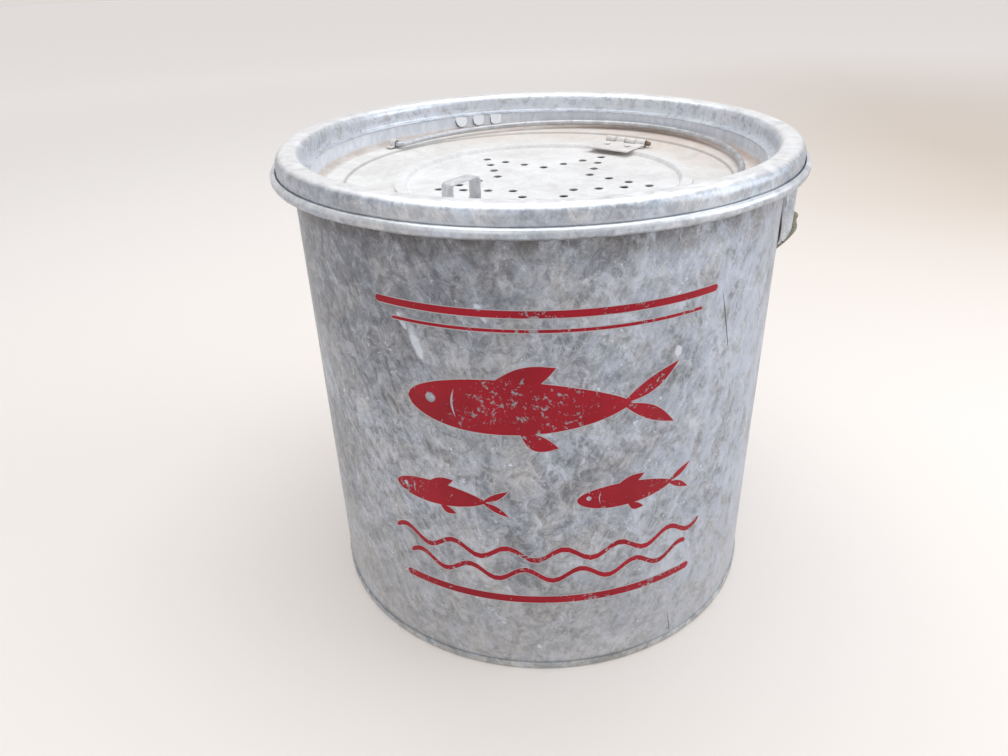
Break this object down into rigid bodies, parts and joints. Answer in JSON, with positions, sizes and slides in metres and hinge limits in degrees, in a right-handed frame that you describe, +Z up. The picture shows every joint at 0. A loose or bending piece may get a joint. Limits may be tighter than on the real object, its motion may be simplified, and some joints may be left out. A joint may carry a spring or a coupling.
{
  "type": "minnow bucket",
  "caption": "Galvanised floating minnow bucket: a pail with a bail holding a lift-out perforated inner bucket with a float ring, a sunken deck and a hinged, latched round door.",
  "frame": {"origin": "centre of the foot ring, on the surface the pail stands on", "axes": "+Z up along the pail's axis; X runs from bail ear to bail ear; the outer bail hangs on the +Y side and the pictured print faces -Y"},
  "size_m": [0.2642, 0.2574, 0.2365],
  "materials": {
    "galvanised_wall": "hot-dip galvanised sheet with a grey-blue spangle, weathered; a worn red print on the front",
    "galvanised_fitting": "galvanised pressing, dull",
    "chalky_deck": "galvanised sheet with white oxide and a faint rust blush",
    "latch_spring": "plain spring steel strip, dull grey",
    "bail_wire": "drawn steel wire, dull",
    "bright_wire": "drawn steel wire",
    "rusty_pin": "steel wire, browned by rust",
    "grip_wood": "turned hardwood, worn varnish"
  },
  "bodies": {
    "pail": {"pail_wall": "galvanised_wall", "pail_bottom": "galvanised_wall", "rim_wire": "bright_wire", "ear_left": "galvanised_fitting", "ear_right": "galvanised_fitting", "ear_rivet_1": "galvanised_fitting", "ear_rivet_2": "galvanised_fitting", "ear_rivet_3": "galvanised_fitting", "ear_rivet_4": "galvanised_fitting"},
    "outer_bail": {"bail": "bail_wire"},
    "grip": {"bail_grip": "grip_wood"},
    "inner_bucket": {"rim_cap": "galvanised_wall", "deck_pan": "chalky_deck", "neck_tube": "galvanised_wall", "float_floor": "galvanised_wall", "basket_wall": "galvanised_wall", "basket_bottom": "galvanised_wall", "hinge_leaf_deck": "chalky_deck", "hinge_pin": "rusty_pin", "bail_lug_left": "chalky_deck", "bail_lug_right": "chalky_deck"},
    "door": {"lid": "chalky_deck", "hinge_leaf_lid": "chalky_deck", "hinge_rivet_1": "chalky_deck", "hinge_rivet_2": "chalky_deck", "latch_strap": "latch_spring", "latch_rivet_1": "latch_spring", "latch_rivet_2": "latch_spring"},
    "tongue": {"latch_tongue": "latch_spring"},
    "lift_bail": {"inner_bail": "bail_wire"}
  },
  "joints": [
    {"name": "inner_bucket_lift", "type": "slide", "parent": "pail", "child": "inner_bucket", "axis": [0, 0, 1], "range_m": [0, 0.26]},
    {"name": "door_hinge", "type": "hinge", "parent": "inner_bucket", "child": "door", "pos_m": [0.04406, 0.06963, 0.2173], "axis": [-0.8572, 0.515, 0], "range_deg": [0, 135]},
    {"name": "latch_flex", "type": "hinge", "parent": "door", "child": "tongue", "pos_m": [-0.03215, -0.05351, 0.2256], "axis": [0.8572, -0.515, 0], "range_deg": [0, 10], "stiffness_Nm_per_rad": 0.05},
    {"name": "inner_bail_pivot", "type": "hinge", "parent": "inner_bucket", "child": "lift_bail", "pos_m": [0, 0, 0.2199], "axis": [0.8572, -0.515, 0], "range_deg": [0, 178]},
    {"name": "outer_bail_pivot", "type": "hinge", "parent": "pail", "child": "outer_bail", "pos_m": [0, 0, 0.197], "axis": [1, 0, 0], "range_deg": [0, 250]},
    {"name": "grip_spin", "type": "hinge", "parent": "outer_bail", "child": "grip", "pos_m": [0, 0.124, 0.10909], "axis": [1, 0, 0], "continuous": true}
  ]
}
